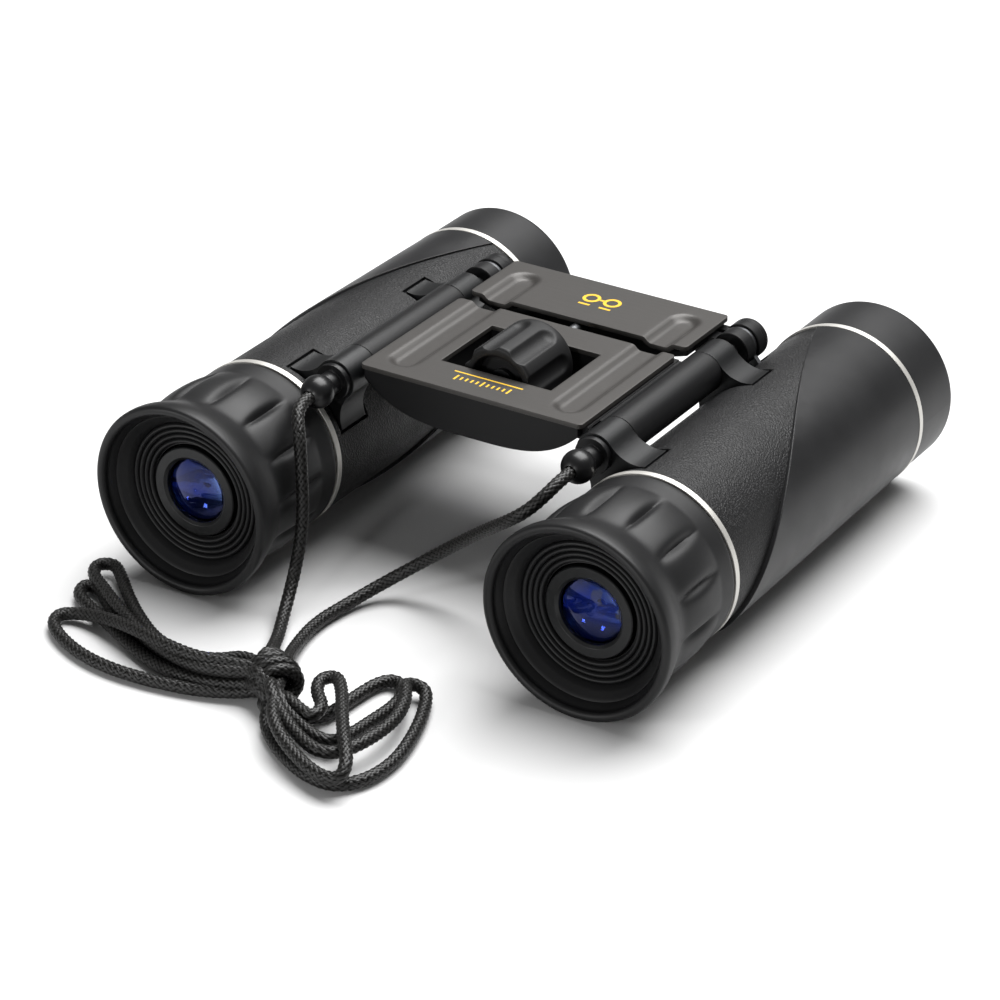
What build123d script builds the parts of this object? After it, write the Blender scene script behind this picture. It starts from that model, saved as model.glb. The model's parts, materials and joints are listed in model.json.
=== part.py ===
from build123d import *
import math
import os

# Compact folding roof-prism binoculars, 8 power with 25 mm objectives, lying open on a flat surface.
# Millimetres. +X is the user's right barrel, +Y the viewing direction, +Z up.
# The origin is at the bottom centre of the open instrument, without its neck cord.
# "Station" is the distance along a barrel, from the eyecup rim (0) to the objective end.

# ---------------------------------------------------------------- driving dimensions
LENGTH = 100.0                # eyecup rim to objective end
BARREL_X = 37.3               # barrel axis to the middle plane, fully open
RIM_R = 16.7                  # eyecup rim, which the open instrument lies on
HINGE_X = 24.7                # fold axis to the middle plane
HINGE_Z = 30.8                # fold axis height
FOLD_ANGLE = 60.0             # each barrel folds in and down by this much

# barrel shell
SHELL_R = 14.0                # outside of the tube, under the armour
SHELL_BORE_R = 13.4
SHELL_REAR = 24.0             # station of the tube's rear end
SHELL_FRONT = 95.0
EYE_NECK_R = 12.4             # reduced neck that the eyecup turns on
EYE_NECK_REAR = 9.0

# hinge knuckles
LUG_R = 3.5                   # outside of knuckles and of the frame's hinge tubes
REAR_LUG = (27.2, 34.0)       # stations of each barrel's rear knuckle
FRONT_LUG = (61.8, 67.7)
STRAP_SWEEP_R = 6.0           # hollow between knuckle and barrel, on both sides
PIN_R = 2.4                   # hollow hinge pin
PIN_BORE_R = 1.45
ROD_R = 1.4                   # focus rod inside the pin
RUN_FIT = 0.05                # radial clearance of a turning or sliding fit
SIDE_GAP = 0.15               # end clearance beside a knuckle

# armour and trim
GRIP_R = 14.65                # grained grip skin
SWELL_REAR_R = 15.45          # smooth front skin, thick at its rear end
SWELL_FRONT_R = 14.9
ARMOUR_REAR = 25.1
ARMOUR_FRONT = 87.2
SEAM_LOW = 28.5               # seam: lowest station, on the outer underside
SEAM_RISE = 79.0              # seam: how far it climbs in half a turn
SEAM_LOW_ANGLE = -45.0        # where around the barrel it is lowest, from straight out
TRIM_R = 14.95                # bright rings
TRIM_WIDTH = 1.1
FOOT_CLEAR = 0.6              # opening in the skin round a knuckle's foot

# eyecup and eyepiece
EYECUP_END = 23.6
CUP_RIM_IN_R = 14.9
CUP_WALL_R = 14.1
CUP_FLOOR_R = 12.6
CUP_FLOOR = 3.9               # station of the ribbed floor
CUP_EYE_R = 8.5               # hole in the floor
WAIST_R = 14.8
WAIST = 8.5
COLLAR_R = 14.9
GRIP_RIBS = 13                # finger ribs round the collar
RIB = (7.0, 19.6)             # stations of a rib's two ends
RIB_SEAT_R = 14.7             # distance of a rib's own axis from the barrel axis
RIB_R = 1.35                  # a rib's radius at its middle
RIB_AT_RIGHT = 46.0           # one rib's place round the right cup, in degrees from +X
RIB_AT_LEFT = 57.6
CELL_R = 7.8                  # eye lens cell, seen in the floor's hole
CELL_EYE_R = 5.6
CELL_FLANGE = 10.5            # station where the cell widens to fill the neck
EYE_CELL_FRONT = 22.0
EYE_LENS_R = 6.6
EYE_LENS = (4.8, 10.3)        # stations of the eye lens's two apexes
FIELD_LENS_R = 9.4
FIELD_LENS = (18.6, 21.9)
EYE_NECK_BORE_R = 11.0
DIOPTER_TURN = 40.0
DIOPTER_LEAD = 7.0            # eyepiece travel per turn of the right eyecup

# objective end
HOOD_R = 14.75
HOOD_ROUND = 1.0
HOOD_MOUTH_R = 12.9           # bore of the hood's lip, where a lens cap pushes in
HOOD_LIP = 5.0
OBJECTIVE_R = 12.7
OBJECTIVE_SAG = 1.6
OBJECTIVE_T = 5.2             # thickness on the axis
OBJECTIVE_CLEAR_R = 12.1
CELL_REAR = 71.6              # objective cell at mid focus
CELL_FRONT = 92.0
FOCUS_LEAD = 4.0              # carriage travel per turn of the wheel
FOCUS_TRAVEL = 2.5            # each way from mid focus

# prisms, all on the barrel axis
PRISM_HALF_WIDTH = 8.0
SCHMIDT = ((46.2, 8.6), (60.0, 2.6), (60.0, -8.2), (54.0, -8.2))
HALF = ((35.5, 8.2), (35.5, -8.6), (52.4, -8.6), (45.0, 8.2))
CAGE_RINGS = ((32.0, 34.6), (61.0, 63.0))
CAGE_RING_R = 8.0
CAGE_CHEEK_T = 1.6

# bridge
PLATE_TOP = 34.0
PLATE_T = 0.8
PLATE_HALF = 21.0
PLATE_CORNER = 0.8
REAR_PLATE = (28.9, 59.0)
FRONT_PLATE = (62.3, 76.9)
WINDOW_HALF = 10.5
WINDOW = (37.0, 52.6)
TROUGH_X = 15.7               # pressed troughs, one each side
TROUGH_W = 5.4
TROUGH_DEPTH = 1.0
TROUGH_REAR = 31.8
TROUGH_FRONT = 73.6
KEEL_Z = 26.0                 # underside of the frame, on the middle plane
KEEL_EDGE = (20.3, 31.6)
KEEL_SHOULDER = (14.0, 27.5)
FLANGE_DROP = 1.2             # ledge between plate and hinge tube, below the plate's top
FLANGE = (30.6, 59.6)

# focus drive
WHEEL_Z = 32.0
WHEEL_R = 6.8
WHEEL = (37.5, 50.8)
FLUTES = 8
FLUTE_AT = 32.0               # first flute's place round the wheel, in degrees from the top
FLUTE_R = 2.3
FLUTE_DEPTH = 0.85
FLUTE_END = 48.5
SCREW_R = 1.1
SCREW_REAR = 33.0
SCREW_FRONT = 73.5
BUSH_R = 1.9
NUT_HALF = 3.0
NUT = (67.0, 73.0)
CARRIAGE = (64.0, 76.3)
CARRIAGE_Z = 28.4
EAR = (70.8, 73.5)            # rear ear ring of the carriage
EAR_R = 3.3
EAR_FRONT_T = 1.8
EAR_FRONT_R = 3.4
ARM_T = 0.9                   # objective drive arm, in the slot between the two ears
ARM_R = 3.0
ARM_HALF = 1.3                # half the width of the arm's neck
ARM_GAP = 0.1
ROD_REAR = 38.0
ROD_TIP = 0.8                 # how far the rod reaches into its cap
CAP_T = 1.6
CAP_R = 3.4
CAP_ROUND = 0.7

# strap posts
POST_R = 2.0
POST_FLANGE_R = 3.1
POST_BALL_R = 2.8
POST_BALL = 22.0              # station of the ball's centre
SOCKET_DEPTH = 2.4            # the cord's end sits in the ball's rear

# neck cord, in world coordinates; it lies where it was dropped
CORD_D = 2.2
LEFT_ROUTE = ((-24.7, -33.6, 30.8), (-23.3, -37.4, 29.2), (-20.8, -39.8, 25.2), (-19.3, -40.8, 19.2),
              (-18.8, -41.6, 12.8), (-18.4, -44.0, 5.8), (-16.8, -49.4, 1.7), (-13.6, -56.2, 1.3),
              (-8.6, -66.8, 3.4))
RIGHT_ROUTE = ((24.7, -32.9, 30.8), (24.0, -36.5, 29.4), (22.0, -38.8, 27.0), (18.4, -38.8, 24.2),
               (13.8, -36.4, 20.6), (8.4, -33.4, 16.2), (2.6, -31.4, 11.4), (-3.4, -31.4, 6.6),
               (-8.4, -34.0, 2.9), (-11.2, -40.0, 1.2), (-12.1, -48.2, 1.2), (-10.4, -56.4, 1.6),
               (-5.6, -65.2, 3.8))
KNOT = (-5.2, -69.4)
KNOT_R = 4.9
KNOT_HEIGHT = 8.2
LEFT_LOOPS = ((-9.0, -68.4), (-15.0, -65.6), (-24.0, -65.8), (-36.0, -60.6), (-49.4, -50.9), (-52.6, -53.6), (-44.4, -62.6),
              (-50.4, -69.6), (-43.0, -74.6), (-26.0, -77.2), (-9.6, -73.6))
LEFT_LOOPS_HEIGHT = 5.2
RIGHT_LOOPS = ((-3.4, -74.6), (2.4, -66.2), (5.0, -62.0), (9.6, -54.8), (15.6, -56.0), (20.4, -63.6),
               (23.8, -75.6), (20.8, -90.4), (9.0, -87.4), (-1.0, -80.4))
RIGHT_LOOPS_HEIGHT = 6.8

# ---------------------------------------------------------------- derived places
AXIS_Z = RIM_R
OBJECTIVE_APEX = CELL_FRONT - 0.2
HOOD_REAR = ARMOUR_FRONT + TRIM_WIDTH
ARM = (EAR[1] + ARM_GAP, EAR[1] + ARM_GAP + ARM_T)
EAR_FRONT = (ARM[1] + ARM_GAP, ARM[1] + ARM_GAP + EAR_FRONT_T)
REACH = math.hypot(BARREL_X - HINGE_X, HINGE_Z - AXIS_Z)
CENTRE_LINE = math.degrees(math.atan2(HINGE_Z - AXIS_Z, HINGE_X - BARREL_X))
PLATE_UNDER = PLATE_TOP - PLATE_T
SOCKET = POST_BALL - POST_BALL_R + SOCKET_DEPTH


def at(station):
    """World Y of a station."""
    return station - LENGTH / 2


def polar(centre, radius, angle):
    """Point of the XZ plane at an angle in degrees from +X."""
    turn = math.radians(angle)
    return (centre[0] + radius * math.cos(turn), centre[1] + radius * math.sin(turn))


def turned(*profile):
    """Solid of revolution about the Y axis, from (radius, station) points."""
    outline = Polyline(*[(radius, at(station)) for radius, station in profile], close=True)
    return revolve(make_face(outline), Axis.Y)


def ring(outer, inner, rear, front):
    return turned((inner, rear), (outer, rear), (outer, front), (inner, front))


def rod(radius, rear, front):
    return turned((0, rear), (radius, rear), (radius, front), (0, front))


def slab(outline, rear, front):
    """Extrude an outline drawn in (x, z) between two stations."""
    return extrude(Plane.XZ.offset(-at(front)) * outline, amount=front - rear)


def block(x0, x1, s0, s1, z0, z1):
    return Pos((x0 + x1) / 2, (at(s0) + at(s1)) / 2, (z0 + z1) / 2) * Box(x1 - x0, s1 - s0, z1 - z0)


def on_barrel(piece):
    return Pos(BARREL_X, 0, AXIS_Z) * piece


def on_hinge(piece):
    return Pos(HINGE_X, 0, HINGE_Z) * piece


def arc_cap(radius, station, sag):
    """Arc of a lens face from its apex on the axis to its edge."""
    sphere = (radius * radius + sag * sag) / (2 * abs(sag))
    half = sphere - math.sqrt(sphere * sphere - radius * radius / 4)
    half = math.copysign(half, sag)
    return [(0, at(station)), (radius / 2, at(station + half)), (radius, at(station + sag))]


def depth_at(place, radius, sag):
    """How far a lens face falls back from its apex at a distance from the axis."""
    sphere = (radius * radius + sag * sag) / (2 * sag)
    return sphere - math.sqrt(sphere * sphere - place * place)


def lens(radius, rear_apex, rear_sag, front_apex, front_sag):
    """Round lens with two spherical faces; a positive rear sag and a negative front sag are convex."""
    rear = arc_cap(radius, rear_apex, rear_sag)
    front = arc_cap(radius, front_apex, front_sag)
    outline = ThreePointArc(*rear) + Line(rear[2], front[2]) + ThreePointArc(*front) + Line(front[0], rear[0])
    return revolve(make_face(outline), Axis.Y)


nodes = {}


def keep(name, piece):
    nodes[name] = piece


def keep_pair(name, piece):
    """A right-hand piece and its mirror image on the left."""
    nodes["right_" + name] = piece
    nodes["left_" + name] = mirror(piece, about=Plane.YZ)


# ---------------------------------------------------------------- barrels
def strap_outline(barrel_r, root_r):
    """Section of a knuckle and the strap that sweeps from it down on to the barrel."""
    hinge = (HINGE_X, HINGE_Z)
    axis = (BARREL_X, AXIS_Z)
    near = LUG_R + STRAP_SWEEP_R
    far = barrel_r + STRAP_SWEEP_R
    at_hinge = math.degrees(math.acos((near**2 + REACH**2 - far**2) / (2 * near * REACH)))
    at_axis = math.degrees(math.acos((far**2 + REACH**2 - near**2) / (2 * far * REACH)))
    down = CENTRE_LINE - 180
    sides = []
    for sign in (1, -1):
        centre = polar(hinge, near, down + sign * at_hinge)
        top = polar(hinge, LUG_R, down + sign * at_hinge)
        foot = polar(axis, barrel_r, CENTRE_LINE - sign * at_axis)
        chord = ((top[0] + foot[0]) / 2 - centre[0], (top[1] + foot[1]) / 2 - centre[1])
        scale = STRAP_SWEEP_R / math.hypot(*chord)
        middle = (centre[0] + chord[0] * scale, centre[1] + chord[1] * scale)
        root = polar(axis, root_r, CENTRE_LINE - sign * at_axis)
        sides.append((root, foot, middle, top))
    outer, inner = sides
    edges = Line(outer[0], outer[1]) + ThreePointArc(outer[1], outer[2], outer[3])
    edges += ThreePointArc(outer[3], polar(hinge, LUG_R, CENTRE_LINE), inner[3])
    edges += ThreePointArc(inner[3], inner[2], inner[1]) + Line(inner[1], inner[0])
    edges += ThreePointArc(inner[0], polar(axis, root_r, CENTRE_LINE), outer[0])
    return make_face(edges)


def drive_slot(clear):
    """Space in the barrel wall that the objective's drive arm travels in."""
    half = ARM_HALF + clear
    wide = block(-half, half, ARM[0] - FOCUS_TRAVEL - clear, ARM[1] + FOCUS_TRAVEL + clear, 0, SHELL_R + 3)
    return on_barrel(Rot(0, 90 - CENTRE_LINE, 0) * wide)


def barrel_shell():
    tube = turned(
        (EYE_NECK_BORE_R, EYE_NECK_REAR), (EYE_NECK_R, EYE_NECK_REAR), (EYE_NECK_R, SHELL_REAR),
        (SHELL_R, SHELL_REAR), (SHELL_R, SHELL_FRONT), (SHELL_BORE_R, SHELL_FRONT),
        (SHELL_BORE_R, SHELL_REAR + 2), (EYE_NECK_BORE_R, SHELL_REAR + 2))
    shell = on_barrel(tube)
    outline = strap_outline(GRIP_R, (SHELL_R + SHELL_BORE_R) / 2)
    for rear, front in (REAR_LUG, FRONT_LUG):
        shell += slab(outline, rear, front)
    shell -= on_hinge(rod(PIN_R + RUN_FIT, REAR_LUG[0] - 1, FRONT_LUG[1] + 1))
    return shell - drive_slot(0.3)


def ahead_of_seam():
    """Everything in front of the S-shaped seam between the two skins, round one barrel."""
    turns = [-170 + 20 * step for step in range(18)]
    rails = []
    for radius in (SHELL_R - 3, SWELL_REAR_R + 3):
        points = []
        for turn in turns:
            x, z = polar((0, 0), radius, SEAM_LOW_ANGLE + turn)
            points.append((x, at(SEAM_LOW + SEAM_RISE * (turn / 180) ** 2), z))
        rails.append(Spline(*points))
    surface = Face.make_surface_from_curves(rails[0], rails[1])
    return on_barrel(extrude(surface, amount=LENGTH, dir=(0, 1, 0)))


def foot_windows():
    """Openings in the grip skin for the knuckle straps and the drive arm."""
    hole = drive_slot(0.3)
    outline = strap_outline(GRIP_R, SHELL_R - 1)
    outline = offset(outline, FOOT_CLEAR)
    for rear, front in (REAR_LUG, FRONT_LUG):
        hole += slab(outline, rear - FOOT_CLEAR, front + FOOT_CLEAR)
    return hole


def grip_armour(ahead):
    skin = on_barrel(ring(GRIP_R, SHELL_R, ARMOUR_REAR, ARMOUR_FRONT))
    return skin - ahead - foot_windows()


def front_armour(ahead):
    skin = turned((SHELL_R, ARMOUR_REAR), (SWELL_REAR_R, ARMOUR_REAR), (SWELL_FRONT_R, ARMOUR_FRONT),
                  (SHELL_R, ARMOUR_FRONT))
    return on_barrel(skin) & ahead


def objective_hood():
    hood = turned(
        (SHELL_R, HOOD_REAR), (HOOD_R, HOOD_REAR), (HOOD_R, LENGTH), (HOOD_MOUTH_R, LENGTH),
        (HOOD_MOUTH_R, LENGTH - HOOD_LIP), (SHELL_R, LENGTH - HOOD_LIP))
    end = hood.faces().sort_by(Axis.Y)[-1].outer_wire().edges()
    return on_barrel(fillet(end, HOOD_ROUND))


def eyecup(neck_fit, rib_at):
    """Rubber cup with its flared rim, ribbed floor and a collar with finger ribs."""
    floor = CUP_FLOOR
    rib = (CUP_FLOOR_R - CUP_EYE_R) / 4
    outside = [(CUP_RIM_IN_R, 0.5), (CUP_RIM_IN_R + 0.5, 0.0), (RIM_R - 0.7, 0.0), (RIM_R, 0.8), (RIM_R, 1.8),
               (RIM_R - 0.6, 4.0), (WAIST_R + 0.25, WAIST - 2.0), (WAIST_R, WAIST),
               (COLLAR_R, EYECUP_END - 1.5), (COLLAR_R, EYECUP_END)]
    neck = EYE_NECK_R + neck_fit
    inside = [(neck, EYECUP_END), (neck, EYE_NECK_REAR - SIDE_GAP), (CUP_EYE_R, EYE_NECK_REAR - SIDE_GAP)]
    ribs = []
    for step in range(4):
        inner = CUP_EYE_R + rib * step
        drop = 0.5 if step == 0 else 0.0
        ribs += [(inner, floor + 0.6 + drop), (inner + rib * 0.55, floor + 0.3 + drop / 2),
                 (inner + rib * 0.6, floor + 0.9)]
    wall = [(CUP_FLOOR_R, floor), (CUP_WALL_R - 0.4, floor - 0.3), (CUP_WALL_R, floor - 1.2)]
    cup = turned(*outside, *inside, *ribs, *wall)
    rib = grip_rib()
    for number in range(GRIP_RIBS):
        cup += Rot(0, 90 - rib_at + 360 / GRIP_RIBS * number, 0) * rib
    return cup


def grip_rib():
    """One leaf-shaped rib above the axis: a slim spindle that sinks into the collar at both ends."""
    rear, front = RIB
    arc = ThreePointArc((0, at(rear)), (RIB_R, at((rear + front) / 2)), (0, at(front)))
    return Pos(0, 0, RIB_SEAT_R) * revolve(make_face(arc + Line(arc @ 1, arc @ 0)), Axis.Y)


def eye_cell():
    """Turned lens holder: the eye lens at its rear, the field lens at its front."""
    floor = CUP_FLOOR
    outer = EYE_NECK_BORE_R - RUN_FIT
    return on_barrel(turned(
        (CELL_EYE_R, floor + 0.9), (CELL_EYE_R + 0.5, floor + 0.5), (CELL_R - 0.2, floor + 0.5),
        (CELL_R, floor + 0.7), (CELL_R, CELL_FLANGE), (outer, CELL_FLANGE), (outer, EYE_CELL_FRONT),
        (FIELD_LENS_R, EYE_CELL_FRONT), (FIELD_LENS_R, EYE_CELL_FRONT - 4.0), (EYE_LENS_R, EYE_CELL_FRONT - 5.0),
        (EYE_LENS_R, floor + 2.0), (CELL_EYE_R, floor + 1.7)))


def eye_lens():
    return on_barrel(lens(EYE_LENS_R, EYE_LENS[0], 1.35, EYE_LENS[1], -1.0))


def field_lens():
    return on_barrel(lens(FIELD_LENS_R, FIELD_LENS[0], 0.9, FIELD_LENS[1], -0.9))


def objective_cell():
    """Sliding cell that holds the objective; its skirt guides it in the barrel."""
    outer = SHELL_BORE_R - RUN_FIT
    seat = OBJECTIVE_APEX - OBJECTIVE_T - 0.8
    return on_barrel(turned(
        (OBJECTIVE_CLEAR_R, CELL_REAR), (outer, CELL_REAR), (outer, CELL_FRONT), (OBJECTIVE_R, CELL_FRONT),
        (OBJECTIVE_R, seat), (OBJECTIVE_CLEAR_R, seat)))


def objective_lens():
    return on_barrel(lens(OBJECTIVE_R, OBJECTIVE_APEX - OBJECTIVE_T, -0.8, OBJECTIVE_APEX, -OBJECTIVE_SAG))


def objective_retainer():
    """Thin ring that holds the objective in its cell, seated on the lens face."""
    seat = OBJECTIVE_APEX - depth_at(OBJECTIVE_CLEAR_R, OBJECTIVE_R, OBJECTIVE_SAG)
    return on_barrel(ring(OBJECTIVE_R, OBJECTIVE_CLEAR_R, seat, CELL_FRONT))


def focus_arm():
    """Arm from the slot between the ears, round the focus rod, down through the barrel wall to the cell."""
    outer = SHELL_BORE_R - RUN_FIT
    neck = block(-ARM_HALF, ARM_HALF, ARM[0], ARM[1], outer - 0.6, REACH - ROD_R - 0.4)
    neck -= rod(outer, ARM[0] - 1, ARM[1] + 1)
    neck = on_barrel(Rot(0, 90 - CENTRE_LINE, 0) * neck)
    return neck + on_hinge(ring(ARM_R, ROD_R + RUN_FIT, ARM[0], ARM[1]))


def prism_outline(points):
    """Section in the barrel's YZ plane, from (station, height) points."""
    return Plane.YZ * make_face(Polyline(*[(at(station), height) for station, height in points], close=True))


def schmidt_prism():
    wedge = extrude(prism_outline(SCHMIDT), amount=PRISM_HALF_WIDTH, both=True)
    roof = Plane.XZ.offset(-at(70)) * make_face(
        Polyline((-12, 20), (-12, -6), (0, 8.2), (12, -6), (12, 20), close=True))
    return on_barrel(wedge - extrude(roof, amount=40))


def half_prism():
    return on_barrel(extrude(prism_outline(HALF), amount=PRISM_HALF_WIDTH, both=True))


def prism_cage():
    """Two side cheeks between end rings, which hold the prisms on the optical axis."""
    rear, front = CAGE_RINGS
    cheek = block(PRISM_HALF_WIDTH, PRISM_HALF_WIDTH + CAGE_CHEEK_T, rear[0] + 1, front[0] + 1, -9.0, 9.0)
    cage = ring(SHELL_BORE_R, CAGE_RING_R, *rear) + ring(SHELL_BORE_R, CAGE_RING_R, *front)
    return on_barrel(cage + cheek + mirror(cheek, about=Plane.YZ))


def barrels():
    ahead = ahead_of_seam()
    keep_pair("barrel_shell", barrel_shell())
    keep_pair("grip_armour", grip_armour(ahead))
    keep_pair("front_armour", front_armour(ahead))
    keep_pair("rear_trim_ring", on_barrel(ring(TRIM_R, SHELL_R, SHELL_REAR, SHELL_REAR + TRIM_WIDTH)))
    keep_pair("front_trim_ring", on_barrel(ring(TRIM_R, SHELL_R, ARMOUR_FRONT, HOOD_REAR)))
    keep_pair("objective_hood", objective_hood())
    keep("right_eyecup", on_barrel(eyecup(RUN_FIT, RIB_AT_RIGHT)))
    keep("left_eyecup", Pos(-BARREL_X, 0, AXIS_Z) * eyecup(0, RIB_AT_LEFT))
    keep_pair("eye_cell", eye_cell())
    keep_pair("eye_lens", eye_lens())
    keep_pair("field_lens", field_lens())
    keep_pair("objective_cell", objective_cell())
    keep_pair("objective_lens", objective_lens())
    keep_pair("objective_retainer", objective_retainer())
    keep_pair("focus_arm", focus_arm())
    keep_pair("schmidt_prism", schmidt_prism())
    keep_pair("half_prism", half_prism())
    keep_pair("prism_cage", prism_cage())


# ---------------------------------------------------------------- bridge
def keel_outline(bottom, top):
    """Boat-shaped section: flat top, curved underside rising to the edges."""
    lift = bottom - KEEL_Z
    edge_x, edge_z = KEEL_EDGE
    shoulder_x, shoulder_z = KEEL_SHOULDER
    under = Spline((-edge_x, edge_z), (-shoulder_x, shoulder_z + lift), (0, bottom),
                   (shoulder_x, shoulder_z + lift), (edge_x, edge_z))
    rest = Polyline((edge_x, edge_z), (edge_x, top), (-edge_x, top), (-edge_x, edge_z))
    return make_face(under + rest)


def trough(width, rear, front, depth):
    """One pressed trough on each side, as a tool cut down from the plate's top."""
    tool = None
    for side in (-1, 1):
        x = side * TROUGH_X
        piece = block(x - width / 2, x + width / 2, rear + width / 2, front - width / 2,
                      PLATE_TOP - depth, PLATE_TOP + 1)
        for station in (rear + width / 2, front - width / 2):
            end = Cylinder(width / 2, depth + 1, align=(Align.CENTER, Align.CENTER, Align.MIN))
            piece += Pos(x, at(station), PLATE_TOP - depth) * end
        tool = piece if tool is None else tool + piece
    return tool


def cover_plate(rear, front):
    """Pressed sheet with a rounded outline and two troughs."""
    sheet = block(-PLATE_HALF, PLATE_HALF, rear, front, PLATE_UNDER, PLATE_TOP)
    sheet = fillet(sheet.edges().filter_by(Axis.Z), PLATE_CORNER)
    body = block(-PLATE_HALF + 1, PLATE_HALF - 1, rear, front, PLATE_UNDER - TROUGH_DEPTH, PLATE_UNDER)
    bulge = trough(TROUGH_W + 1.2, TROUGH_REAR - 0.6, TROUGH_FRONT + 0.6, TROUGH_DEPTH + PLATE_T) & body
    return sheet + bulge - trough(TROUGH_W, TROUGH_REAR, TROUGH_FRONT, TROUGH_DEPTH)


def window(clear, bottom):
    return block(-WINDOW_HALF - clear, WINDOW_HALF + clear, WINDOW[0] - clear, WINDOW[1] + clear,
                 bottom, PLATE_TOP + 1)


def rear_cover_plate():
    return cover_plate(*REAR_PLATE) - window(0, KEEL_Z)


def trough_relief():
    return trough(TROUGH_W + 1.2, TROUGH_REAR - 0.6, TROUGH_FRONT + 0.6, TROUGH_DEPTH + PLATE_T)


def bridge_frame():
    """Moulded frame: keel, window well, ledges and the two hinge tubes."""
    frame = slab(keel_outline(KEEL_Z, PLATE_UNDER), REAR_PLATE[0] + 0.2, REAR_PLATE[1] - 0.2)
    for side in (-1, 1):
        near = side * (PLATE_HALF + 0.25)
        far = side * HINGE_X
        low, high = sorted((near, far))
        ledge = block(low, high, *FLANGE, HINGE_Z - 1.5, PLATE_TOP - FLANGE_DROP)
        inner = sorted((side * (KEEL_EDGE[0] - 3), near))
        web = block(inner[0], inner[1], *FLANGE, HINGE_Z - 0.2, PLATE_UNDER)
        web &= slab(keel_outline(KEEL_Z, PLATE_UNDER) + Pos(side * PLATE_HALF, HINGE_Z + 1) * Rectangle(4, 2.4),
                    *FLANGE)
        frame += ledge + web
    tube = on_hinge(rod(LUG_R, REAR_LUG[1] + SIDE_GAP, FRONT_LUG[0] - SIDE_GAP))
    frame += tube + mirror(tube, about=Plane.YZ)
    sweep = on_hinge(rod(LUG_R + 0.35, REAR_LUG[0] - 2, REAR_LUG[1] + SIDE_GAP))
    frame -= sweep + mirror(sweep, about=Plane.YZ)
    bore = on_hinge(rod(PIN_R, REAR_LUG[0], FRONT_LUG[1]))
    frame -= bore + mirror(bore, about=Plane.YZ)
    frame -= trough_relief()
    frame -= window(0.3, KEEL_Z + 2.6)
    well = Pos(0, 0, WHEEL_Z) * rod(WHEEL_R + 0.6, WINDOW[0] - 0.3, WINDOW[1] + 0.3)
    shaft = Pos(0, 0, WHEEL_Z) * rod(SCREW_R + RUN_FIT, SCREW_REAR - 0.3, WINDOW[0])
    bush = Pos(0, 0, WHEEL_Z) * rod(BUSH_R, WINDOW[1], REAR_PLATE[1])
    above = block(-BUSH_R, BUSH_R, WINDOW[1], REAR_PLATE[1], WHEEL_Z, PLATE_UNDER)
    return frame - well - shaft - bush - above - screw_holes()


SCREW_PLACES = ((-7.0, 33.0), (7.0, 33.0), (-7.0, 56.0), (7.0, 56.0))


def screw_holes():
    """Blind holes from the underside for the screws that hold the cover plate's studs."""
    holes = None
    for x, station in SCREW_PLACES:
        hole = Pos(x, at(station), KEEL_Z - 1) * Cylinder(1.7, 3.2, align=(Align.CENTER, Align.CENTER, Align.MIN))
        hole += Pos(x, at(station), KEEL_Z) * Cylinder(0.8, 6, align=(Align.CENTER, Align.CENTER, Align.MIN))
        holes = hole if holes is None else holes + hole
    return holes


def cover_screws():
    screws = []
    for x, station in SCREW_PLACES:
        head = Pos(x, at(station), KEEL_Z + 1.2) * Cylinder(1.5, 1.0, align=(Align.CENTER, Align.CENTER, Align.MIN))
        stem = Pos(x, at(station), KEEL_Z + 2) * Cylinder(0.8, 4, align=(Align.CENTER, Align.CENTER, Align.MIN))
        cross = Pos(x, at(station), KEEL_Z + 1.2) * (Box(1.8, 0.4, 0.8) + Box(0.4, 1.8, 0.8))
        screws.append(head + stem - cross)
    return Compound(children=screws)


def hinge_pin():
    return on_hinge(ring(PIN_R, PIN_BORE_R, REAR_LUG[0] - SIDE_GAP, FRONT_LUG[1]))


def strap_post():
    """Ball-ended post screwed into the hinge pin, drilled for the neck cord."""
    face = REAR_LUG[0] - SIDE_GAP
    post = on_hinge(rod(POST_R, POST_BALL, face) + ring(POST_FLANGE_R, 0.5, face - 1.0, face)
                    + rod(PIN_BORE_R, face, face + 4))
    post += on_hinge(Pos(0, at(POST_BALL), 0) * Sphere(POST_BALL_R))
    return post - on_hinge(rod(CORD_D / 2 + RUN_FIT, POST_BALL - POST_BALL_R - 1, SOCKET))


def bridge():
    keep("bridge_frame", bridge_frame())
    keep("rear_cover_plate", rear_cover_plate())
    keep("cover_screws", cover_screws())
    keep_pair("hinge_pin", hinge_pin())
    keep_pair("strap_post", strap_post())


# ---------------------------------------------------------------- focus drive
def on_screw(piece):
    return Pos(0, 0, WHEEL_Z) * piece


def focus_wheel():
    """Moulded wheel with long flutes that run out before its front end, and a recessed rear face."""
    rear, front = WHEEL
    wheel = turned((SCREW_R, rear + 2.2), (WHEEL_R - 1.9, rear + 2.2), (WHEEL_R - 1.5, rear), (WHEEL_R - 0.6, rear),
                   (WHEEL_R, rear + 0.6), (WHEEL_R, front - 1.2), (WHEEL_R - 1.2, front), (SCREW_R, front))
    rounding = FLUTE_END - math.sqrt(FLUTE_R**2 - (FLUTE_R - FLUTE_DEPTH)**2)
    groove = rod(FLUTE_R, rear - 1, rounding) + Pos(0, at(rounding), 0) * Sphere(FLUTE_R)
    groove = Pos(0, 0, WHEEL_R + FLUTE_R - FLUTE_DEPTH) * groove
    for number in range(FLUTES):
        wheel -= Rot(0, FLUTE_AT + 360 / FLUTES * number, 0) * groove
    return on_screw(wheel)


def wheel_cap_screw():
    rear = WHEEL[0]
    head = rod(2.2, rear + 1.2, rear + 2.2) - block(-1.8, 1.8, rear + 1.0, rear + 1.7, -0.3, 0.3)
    return on_screw(head - rod(SCREW_R, rear, rear + 3))


def focus_screw():
    return on_screw(rod(SCREW_R, SCREW_REAR, SCREW_FRONT))


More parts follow.
